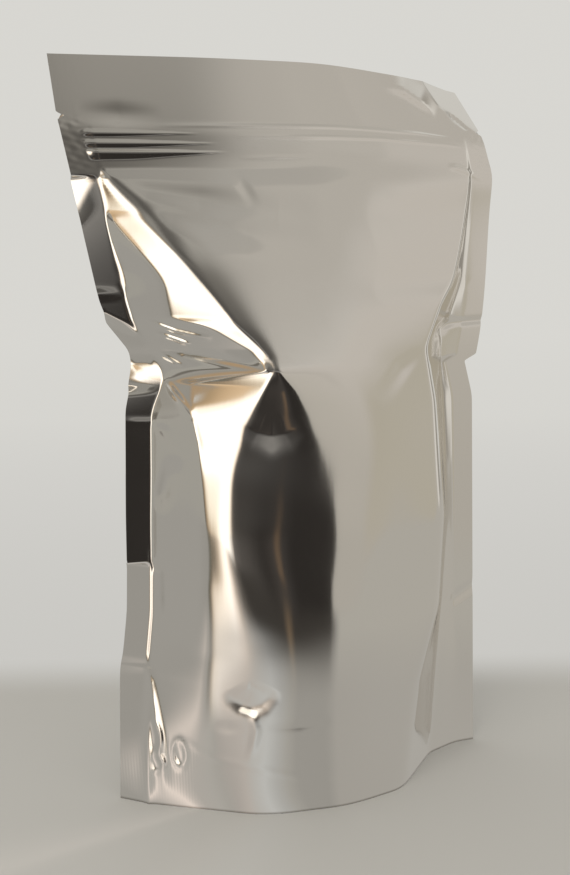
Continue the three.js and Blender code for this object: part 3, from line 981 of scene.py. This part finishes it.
@dataclass
class Pouch:
    """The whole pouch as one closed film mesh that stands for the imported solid."""

    form: FilmForm = field(default_factory=FilmForm)
    grid: FilmGrid = field(default_factory=FilmGrid)
    finish: FoilFinish = field(default_factory=FoilFinish)
    back_thin: int = 3
    rim: float = 1.5
    inner_rim: float = 0.6
    hollow: float = 7.0
    opening: tuple[float, float] = (4.0, 20.0)
    seal_low: float = 10.0
    seal_high: float = 52.0
    seal_fade: float = 2.0
    # Height of the darker foot in millimetres: the film's cut edge, with painted contact shade
    cut: float = 0.9
    on_floor: float = 1e-4
    shift: Vector = field(init=False, default_factory=Vector)

    def panel(self, bm: bmesh.types.BMesh, side: Side, thin: int) -> list[bmesh.types.BMVert]:
        """Adds one panel's grid to a mesh.

        Args:
            bm: the mesh to add to.
            side: which panel.
            thin: keep each grid line of this many.

        Returns:
            The panel's vertices.
        """
        shares = self.grid.spread(self.grid.columns, thin)
        heights = self.grid.spread(self.grid.rows, thin)[:, None]
        left, right = self.form.sheet.edges(heights)
        points = self.form.points(side, left + (right - left) * shares[None, :], heights)
        across, up = len(shares) - 1, len(heights) - 1
        made = bmesh.ops.create_grid(bm, x_segments=across, y_segments=up, size=0.5)["verts"]
        for vert in made:
            column = round((vert.co.x + 0.5) * across)
            row = round((vert.co.y + 0.5) * up)
            vert.co = points[row, column]
        return made

    def build(self) -> bpy.types.Object:
        """Builds the film mesh.

        Returns:
            The finished object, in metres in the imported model's frame.
        """
        bm = bmesh.new()
        front = self.panel(bm, Side.FRONT, 1)
        self.panel(bm, Side.BACK, self.back_thin)
        rims = [edge for edge in bm.edges if edge.is_boundary]
        floor = [edge for edge in rims if max(vert.co.z for vert in edge.verts) < self.on_floor]
        below = set(floor)
        for edge in rims:
            edge.smooth = False
        bmesh.ops.bridge_loops(bm, edges=[edge for edge in rims if edge not in below])
        self.gusset(bm, set(front), floor)
        bmesh.ops.recalc_face_normals(bm, faces=bm.faces[:])
        for face in bm.faces:
            face.smooth = True
        places = np.array([vert.co for vert in bm.verts])
        lows, highs = places.min(axis=0), places.max(axis=0)
        low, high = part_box(NODE)
        middle = Vector((low + high) / 2.0)
        shift = Vector((-(lows[0] + highs[0]) / 2.0, -(lows[1] + highs[1]) / 2.0, 0.0))
        self.shift = shift + Vector((middle.x, middle.y, 0.0)) / MM
        bmesh.ops.translate(bm, verts=bm.verts[:], vec=self.shift)
        bmesh.ops.scale(bm, verts=bm.verts[:], vec=(MM, MM, MM))
        made = linked("pouch_film", bm)
        self.mark(made.data)
        made.data.materials.append(self.finish.material())
        return made

    def mark(self, mesh: bpy.types.Mesh) -> None:
        """Stores how far each vertex belongs to the foot's knurled seal and to its darker foot: the film's
        cut edge, with painted contact shade.

        Args:
            mesh: the finished mesh.
        """
        flat = np.empty(len(mesh.vertices) * 3)
        mesh.vertices.foreach_get("co", flat)
        x, _, z = flat.reshape(-1, 3).T / MM
        arc = self.seal_low + (self.seal_high - self.seal_low) * np.abs(x / BASE_HALF) ** 3
        knurl = smoothstep(arc + self.seal_fade, arc - self.seal_fade, z)
        # The cut mask darkens the foot: the film's cut edge, with painted contact shade
        for name, values in (("knurl", knurl), ("cut", smoothstep(self.cut, 0.0, z))):
            mesh.attributes.new(name, "FLOAT", "POINT").data.foreach_set("value", values)

    def gusset(
        self, bm: bmesh.types.BMesh, front: set[bmesh.types.BMVert], floor: list[bmesh.types.BMEdge]
    ) -> None:
        """Closes the pouch underneath with the gusset's film, hollow inside the rim it stands on.

        Args:
            bm: the mesh.
            front: the front panel's vertices.
            floor: the panels' lowest edges.
        """
        inner: list[bmesh.types.BMEdge] = []
        for side in Side:
            chain = [edge for edge in floor if (edge.verts[0] in front) == (side is Side.FRONT)]
            for inset, height in ((self.rim, 0.0), (self.inner_rim, self.hollow)):
                grown = bmesh.ops.extrude_edge_only(bm, edges=chain)["geom"]
                verts = {part for part in grown if isinstance(part, bmesh.types.BMVert)}
                edges = [part for part in grown if isinstance(part, bmesh.types.BMEdge)]
                chain = [edge for edge in edges if verts.issuperset(edge.verts)]
                for vert in verts:
                    open_share = float(smoothstep(*self.opening, np.array(abs(vert.co.y))))
                    vert.co.y -= side.value * inset * open_share
                    vert.co.z = height * open_share
            inner += chain
        bmesh.ops.bridge_loops(bm, edges=inner)
        holes = [edge for edge in bm.edges if edge.is_boundary]
        bmesh.ops.holes_fill(bm, edges=holes, sides=0)


def studio_sheet(
    name: str, size: tuple[float, float], material: bpy.types.Material, mirrored: bool = True
) -> bpy.types.Object:
    """Makes a flat sheet of the studio.

    Args:
        name: the object's name.
        size: its size along x and y in metres.
        material: what it is made of.
        mirrored: whether it is seen only in reflections, or else never in them.

    Returns:
        The object.
    """
    bm = bmesh.new()
    bmesh.ops.create_grid(bm, x_segments=1, y_segments=1, size=0.5)
    bmesh.ops.scale(bm, verts=bm.verts[:], vec=(*size, 1.0))
    made = linked(name, bm)
    made.data.materials.append(material)
    made.visible_glossy = mirrored
    made.visible_camera = made.visible_diffuse = made.visible_shadow = not mirrored
    return made


class Way(Enum):
    """The way that a card's colours run."""

    ACROSS = "X"
    UP = "Y"


@dataclass
class Card:
    """A flat studio card that the foil mirrors, standing on a circle round the pouch.

    Azimuths are in degrees from straight in front, to the right; bottom and top are in metres.
    Each colour stop is (share of the way, red, green, blue) and soft is how much of each side,
    in the order left, right, bottom and top, fades out.
    """

    name: str
    left: float
    right: float
    bottom: float
    top: float
    stops: Knots
    way: Way = Way.ACROSS
    soft: tuple[float, float, float, float] = (0.0, 0.0, 0.0, 0.0)
    radius: float = 1.6

    def build(self) -> bpy.types.Object:
        """Builds the card.

        Returns:
            The card, seen only in reflections.
        """
        middle = math.radians((self.left + self.right) / 2.0)
        width = 2.0 * self.radius * math.tan(math.radians(self.right - self.left) / 2.0)
        inward = Vector((-math.sin(middle), math.cos(middle), 0.0))
        made = studio_sheet(self.name, (width, self.top - self.bottom), self.material(width))
        turn = Matrix((UPWARD.cross(inward), UPWARD, inward)).transposed().to_4x4()
        centre = inward * -self.radius + UPWARD * ((self.top + self.bottom) / 2.0)
        made.matrix_world = Matrix.Translation(centre) @ turn
        return made

    def material(self, width: float) -> bpy.types.Material:
        """Makes the card's glow.

        Args:
            width: the card's width in metres.

        Returns:
            A node material.
        """
        tree = Tree(self.name)
        axes = tree.axes(tree.place())
        sizes = {Way.ACROSS: -width, Way.UP: self.top - self.bottom}
        shares = {way: tree.share(axes[way.value], -size / 2.0, size / 2.0) for way, size in sizes.items()}
        ends = zip((Way.ACROSS, Way.ACROSS, Way.UP, Way.UP), (0.0, 1.0, 0.0, 1.0), self.soft)
        fades = [
            tree.soft_share(shares[way], end, abs(end - part)) for way, end, part in ends if part > 0.0
        ]
        shown = reduce(tree.times, fades) if fades else 1.0
        return tree.glow(tree.colours(shares[self.way], self.stops), shown)


@dataclass
class Table:
    """The lit paper round the pouch, as the foil mirrors it: streaks of light that run out from its foot.

    Stops are (degrees from straight in front, red, green, blue), close to the foot and far from it.
    """

    front: float = -0.32
    back: float = 0.7
    width: float = 1.6
    pole: tuple[float, float] = (-0.005, -0.006)
    reach: tuple[float, float] = (0.11, 0.236)
    fade: float = 0.09
    near: Knots = (
        (-90, 0.4, 0.39, 0.365), (-85, 0.48, 0.46, 0.43), (-80, 0.7, 0.64, 0.595), (-76, 0.94, 0.84, 0.77),
        (-73.5, 0.63, 0.58, 0.54), (-71, 0.51, 0.485, 0.455), (-65, 0.49, 0.475, 0.445),
        (-60, 0.455, 0.44, 0.41), (-56, 0.48, 0.45, 0.42), (-50, 0.55, 0.51, 0.475),
        (-44, 0.56, 0.55, 0.527), (-36, 0.6, 0.605, 0.595), (-28, 0.5, 0.5, 0.485), (-19, 0.44, 0.43, 0.4),
        (-11, 0.385, 0.375, 0.35), (4, 0.38, 0.37, 0.345), (12, 0.44, 0.425, 0.395),
        (90, 0.465, 0.45, 0.42),
    )
    far: Knots = (
        (-90, 0.4, 0.39, 0.365), (-80, 0.38, 0.37, 0.345), (-70, 0.37, 0.36, 0.335),
        (-68, 0.16, 0.155, 0.125), (-65.5, 0.2, 0.165, 0.12), (-63, 0.75, 0.62, 0.48),
        (-60, 1.4, 1.25, 1.08), (-55, 1.6, 1.48, 1.35), (-51, 1.2, 1.05, 0.92), (-47, 0.58, 0.5, 0.43),
        (-43, 0.29, 0.26, 0.23), (-39, 0.13, 0.117, 0.104), (-34, 0.05, 0.045, 0.04),
        (-18, 0.05, 0.045, 0.04), (-14.5, 0.19, 0.137, 0.088), (-10.5, 0.05, 0.045, 0.04),
        (7, 0.05, 0.045, 0.04), (10, 0.3, 0.29, 0.27), (14, 0.49, 0.475, 0.435), (90, 0.5, 0.48, 0.44),
    )

    def build(self) -> bpy.types.Object:
        """Builds the paper.

        Returns:
            The paper, seen only in reflections.
        """
        made = studio_sheet("table", (self.width, self.back - self.front), self.material())
        made.location.y = (self.back + self.front) / 2.0
        return made

    def material(self) -> bpy.types.Material:
        """Makes the paper's streaks.

        Returns:
            A node material.
        """
        tree = Tree("table_paper")
        place = tree.place()
        pole = (self.pole[0], self.pole[1] - (self.back + self.front) / 2.0, 0.0)
        away = tree.add("VectorMath", {0: place, 1: pole}, operation="SUBTRACT")["Vector"]
        axes = tree.axes(away)
        feeds = {0: axes["X"], 1: tree.times(axes["Y"], -1.0)}
        angle = tree.add("Math", feeds, operation="ARCTAN2")["Value"]
        turn = tree.share(angle, -math.pi / 2.0, math.pi / 2.0)
        near, far = (
            tree.colours(turn, tuple(((degrees + 90.0) / 180.0, *colour) for degrees, *colour in stops))
            for stops in (self.near, self.far)
        )
        length = tree.add("VectorMath", {0: away}, operation="LENGTH")["Value"]
        colour = tree.blend(tree.soft_share(length, *self.reach), near, far)
        edge = (self.front - self.back) / 2.0
        return tree.glow(colour, tree.soft_share(tree.axes(place)["Y"], edge, edge + self.fade))


# Cards in front of the pouch, then to its left, above it and to its right
CARDS = (
    Card(
        "dark_room", left=-50, right=9, bottom=-1.6, top=0.65,
        stops=(
            (0, 0.031, 0.0275, 0.025), (0.7, 0.031, 0.0275, 0.025), (0.76, 0.075, 0.071, 0.067),
            (0.81, 0.13, 0.124, 0.118), (0.845, 0.28, 0.27, 0.255), (0.91, 0.15, 0.143, 0.135),
            (1, 0.1, 0.095, 0.088),
        ),
        way=Way.UP, soft=(0.05, 0, 0, 0.12),
    ),
    Card(
        "window_spill", left=-40, right=-20, bottom=-1.6, top=0.3,
        stops=((0, 0.16, 0.147, 0.135), (1, 0.15, 0.138, 0.127)), soft=(0.1, 0.85, 0, 0.3), radius=1.54,
    ),
    Card(
        "dark_side", left=-50, right=-5, bottom=0.4, top=2.3,
        stops=(
            (0.05, 0.13, 0.13, 0.128), (0.22, 0.16, 0.155, 0.145), (0.59, 0.3, 0.29, 0.265),
            (1, 0.42, 0.405, 0.375),
        ),
        way=Way.UP, soft=(0.05, 0.4, 0.06, 0.15), radius=1.585,
    ),
    Card(
        "dark_upper", left=-40, right=28, bottom=0.37, top=1.81,
        stops=(
            (0.05, 0.09, 0.085, 0.078), (0.22, 0.12, 0.113, 0.103), (0.38, 0.19, 0.18, 0.163),
            (0.59, 0.325, 0.312, 0.285), (1, 0.45, 0.435, 0.4),
        ),
        way=Way.UP, soft=(0.3, 0.45, 0.06, 0.15), radius=1.2,
    ),
    Card(
        "dark_corner", left=-34, right=-4, bottom=0.7, top=1.84,
        stops=((0, 0.11, 0.105, 0.096), (0.5, 0.12, 0.114, 0.104), (1, 0.22, 0.21, 0.19)), way=Way.UP,
        soft=(0.35, 0.5, 0.3, 0.3), radius=1.15,
    ),
    Card(
        "dark_glow", left=-24, right=-4, bottom=-0.9, top=0.1,
        stops=((0, 0.062, 0.054, 0.048), (1, 0.055, 0.051, 0.049)), soft=(0.45, 0.45, 0.2, 0.3),
        radius=1.58,
    ),
    Card(
        "brown_post", left=-16, right=-11, bottom=-0.36, top=0.03,
        stops=((0, 0.17, 0.12, 0.08), (1, 0.13, 0.09, 0.06)), way=Way.UP, soft=(0.4, 0.4, 0.15, 0.3),
        radius=1.56,
    ),
    Card(
        "window", left=-70, right=-31, bottom=-1.6, top=0.52,
        stops=(
            (0, 0.1, 0.1, 0.08), (0.03, 0.12, 0.11, 0.09), (0.06, 0.3, 0.23, 0.15),
            (0.11, 0.42, 0.31, 0.2), (0.16, 0.8, 0.66, 0.49), (0.22, 1.3, 1.18, 0.97),
            (0.36, 1.8, 1.75, 1.65), (0.75, 1.7, 1.6, 1.45), (1, 0.8, 0.55, 0.4),
        ),
        soft=(0, 0.42, 0, 0.11), radius=1.5,
    ),
    Card(
        "window_light", left=-61, right=-31, bottom=0.25, top=1.1,
        stops=((0, 1.2, 1.02, 0.8), (0.3, 1.75, 1.65, 1.5), (0.65, 1.75, 1.7, 1.6), (1, 1, 0.92, 0.85)),
        soft=(0.12, 0.45, 0.2, 0.35), radius=1.49,
    ),
    Card(
        "window_head", left=-70, right=-33, bottom=-0.1, top=1.3,
        stops=(
            (0, 0.95, 0.74, 0.5), (0.45, 0.84, 0.61, 0.38), (0.62, 0.7, 0.5, 0.3), (0.78, 0.5, 0.36, 0.21),
            (1, 0.42, 0.34, 0.25),
        ),
        way=Way.UP, soft=(0.02, 0.2, 0, 0.2), radius=1.52,
    ),
    Card(
        "left_strip", left=-108, right=-70, bottom=0.16, top=0.44,
        stops=(
            (0, 0.3, 0.285, 0.26), (0.4, 0.2, 0.185, 0.165), (0.88, 0.16, 0.15, 0.13),
            (0.93, 1, 0.9, 0.74), (1, 1.2, 1.08, 0.88),
        ),
        soft=(0.3, 0.06, 0.25, 0.25), radius=1.5,
    ),
    Card(
        "left_paper", left=-130, right=-69, bottom=-1.6, top=2.2,
        stops=(
            (0, 0.4, 0.39, 0.36), (0.4, 0.42, 0.41, 0.375), (0.48, 0.43, 0.415, 0.38),
            (0.56, 0.38, 0.365, 0.33), (0.65, 0.36, 0.345, 0.31), (0.76, 0.48, 0.345, 0.21),
            (1, 0.42, 0.34, 0.25),
        ),
        way=Way.UP, soft=(0.2, 0, 0, 0.2), radius=1.55,
    ),
    Card(
        "upper_shade", left=-30, right=106, bottom=0.9, top=2.6,
        stops=(
            (0, 0.3, 0.29, 0.265), (0.22, 0.37, 0.355, 0.325), (0.34, 0.46, 0.445, 0.41),
            (0.46, 0.53, 0.505, 0.465), (1, 0.54, 0.51, 0.465),
        ),
        soft=(0.2, 0.15, 0.25, 0.25), radius=1.5,
    ),
    Card(
        "warm_wall", left=32, right=84, bottom=-0.5, top=0.75,
        stops=((0, 0.5, 0.465, 0.39), (1, 0.52, 0.49, 0.42)), soft=(0.35, 0.35, 0.35, 0.35), radius=1.57,
    ),
    Card(
        "right_strip", left=78, right=112, bottom=-0.7, top=1.5,
        stops=(
            (0, 0.5, 0.48, 0.44), (0.2, 0.8, 0.775, 0.73), (0.4, 0.75, 0.725, 0.68),
            (0.55, 0.34, 0.32, 0.285), (0.8, 0.31, 0.29, 0.26), (1, 0.45, 0.43, 0.4),
        ),
        soft=(0.15, 0.2, 0.15, 0.2), radius=1.52,
    ),
    Card(
        "right_wall", left=9, right=105, bottom=-1.6, top=1.6,
        stops=(
            (0, 0.47, 0.455, 0.415), (0.42, 0.5, 0.475, 0.43), (0.55, 0.55, 0.52, 0.47),
            (0.75, 0.62, 0.585, 0.54), (1, 0.63, 0.6, 0.56),
        ),
        way=Way.UP, soft=(0, 0.1, 0, 0.2),
    ),
)


@dataclass
class Studio:
    """Pale floor, soft light, the cards that the foil mirrors, and the camera at the photograph's angle.

    The floor's paper sweeps up into the backdrop over the distances in sweep, behind the pouch.
    """

    azimuth: float = -19.236
    pitch: float = 9.121
    roll: float = -0.845
    distance: float = 431.551
    target: tuple[float, float, float] = (-6.39, 0.0, 135.723)
    focal_share: float = 1124.214 / 875.0
    sensor: float = 36.0
    clip_start: float = 0.01
    sky: tuple[float, float, float] = (0.685, 0.675, 0.64)
    lamp_power: float = 6.0
    lamp_size: float = 0.8
    lamp_colour: tuple[float, float, float] = (1.0, 0.95, 0.88)
    lamp_place: tuple[float, float, float] = (-0.6, -0.7, 1.1)
    lamp_aim: tuple[float, float, float] = (0.0, 0.0, 0.1)
    floor_size: float = 9.0
    floor_colour: tuple[float, float, float] = (0.53, 0.52, 0.495)
    floor_roughness: float = 0.32
    sweep: tuple[float, float] = (0.078, 0.132)
    wall_depth: float = 2.5
    # Glow of the backdrop, darker close behind the pouch and lighter far off: painted light and shade of
    # the wall
    wall: Knots = (
        (0, 0.575, 0.565, 0.535), (0.2, 0.625, 0.615, 0.585), (0.4, 0.67, 0.66, 0.625),
        (0.9, 0.685, 0.675, 0.64),
    )
    ceiling_size: float = 3.4
    ceiling_height: float = 2.0
    ceiling_stops: Knots = (
        (0.46, 0.33, 0.32, 0.295), (0.54, 0.39, 0.375, 0.345), (0.6, 0.44, 0.425, 0.395),
        (0.72, 0.47, 0.45, 0.415), (0.9, 0.51, 0.49, 0.45),
    )
    table: Table = field(default_factory=Table)
    cards: tuple[Card, ...] = CARDS

    def build(self, shift: Vector) -> None:
        """Builds the floor, the ceiling, the cards, the lights and the camera.

        Args:
            shift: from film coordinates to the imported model's frame, in millimetres.
        """
        studio_sheet("floor", (self.floor_size, self.floor_size), self.floor_paper(), mirrored=False)
        ceiling = studio_sheet("ceiling", (self.ceiling_size, self.ceiling_size), self.ceiling_paper())
        ceiling.location.z = self.ceiling_height
        self.table.build()
        for card in self.cards:
            card.build()
        self.light()
        self.camera(shift)

    def ceiling_paper(self) -> bpy.types.Material:
        """Makes the ceiling's glow.

        Returns:
            A node material.
        """
        tree = Tree("ceiling_paper")
        half = self.ceiling_size / 2.0
        tone = tree.colours(tree.share(tree.axes(tree.place())["X"], -half, half), self.ceiling_stops)
        black = {"Base Color": (0.0, 0.0, 0.0, 1.0), "Specular IOR Level": 0.0}
        tree.fill(tree.shader, {**black, "Emission Color": tone, "Emission Strength": 1.0})
        return tree.material

    def floor_paper(self) -> bpy.types.Material:
        """Makes the floor's paper, which sweeps up into the backdrop behind the pouch.

        Returns:
            A node material.
        """
        tree = Tree("floor_paper")
        look = {"Base Color": (*self.floor_colour, 1.0), "Roughness": self.floor_roughness}
        paper = tree.fill(tree.shader, {**look, "Specular IOR Level": 0.5})["BSDF"]
        turn = math.radians(self.azimuth)
        feeds = {0: tree.place(), 1: (-math.sin(turn), math.cos(turn), 0.0)}
        reach = tree.add("VectorMath", feeds, operation="DOT_PRODUCT")["Value"]
        tone = tree.colours(tree.share(reach, 0.0, self.wall_depth), self.wall)
        glow = tree.add("Emission", {"Color": tone})["Emission"]
        return tree.cover(paper, glow, tree.soft_share(reach, *self.sweep))

    def light(self) -> None:
        """Sets the sky and adds a soft lamp."""
        world = bpy.data.worlds.new("studio_sky")
        world.use_nodes = True
        world.node_tree.nodes["Background"].inputs["Color"].default_value = (*self.sky, 1.0)
        bpy.context.scene.world = world
        lamp = bpy.data.lights.new("soft_box", "AREA")
        lamp.energy = self.lamp_power
        lamp.size = self.lamp_size
        lamp.color = self.lamp_colour
        made = bpy.data.objects.new("soft_box", lamp)
        made.location = self.lamp_place
        made.rotation_mode = "QUATERNION"
        made.rotation_quaternion = (made.location - Vector(self.lamp_aim)).to_track_quat("Z", "Y")
        made.visible_glossy = False
        bpy.context.scene.collection.objects.link(made)

    def camera(self, shift: Vector) -> None:
        """Adds the camera.

        Args:
            shift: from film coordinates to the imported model's frame, in millimetres.
        """
        turn, tilt, roll = (math.radians(angle) for angle in (self.azimuth, self.pitch, self.roll))
        level_out = math.cos(tilt)
        back = Vector((math.sin(turn) * level_out, -math.cos(turn) * level_out, math.sin(tilt)))
        right = (-back).cross(UPWARD).normalized()
        up = right.cross(-back)
        rolled = right * math.cos(roll) + up * math.sin(roll)
        up = up * math.cos(roll) - right * math.sin(roll)
        data = bpy.data.cameras.new("camera")
        data.sensor_width = self.sensor
        data.lens = self.sensor * self.focal_share
        data.clip_start = self.clip_start
        made = bpy.data.objects.new("camera", data)
        place = (Vector(self.target) + back * self.distance + shift) * MM
        made.matrix_world = Matrix.Translation(place) @ Matrix((rolled, up, back)).transposed().to_4x4()
        bpy.context.scene.collection.objects.link(made)
        bpy.context.scene.camera = made


def main() -> None:
    """Builds the pouch and the studio, and reports each piece."""
    logging.basicConfig(level=logging.INFO)
    bpy.context.scene.view_settings.view_transform = "Standard"
    pouch = Pouch()
    film = pouch.build()
    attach(film, BODY)
    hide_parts(NODE)
    LOG.info("%s: %d faces", film.name, len(film.data.polygons))
    Studio().build(pouch.shift)


if __name__ == "__main__":
    main()
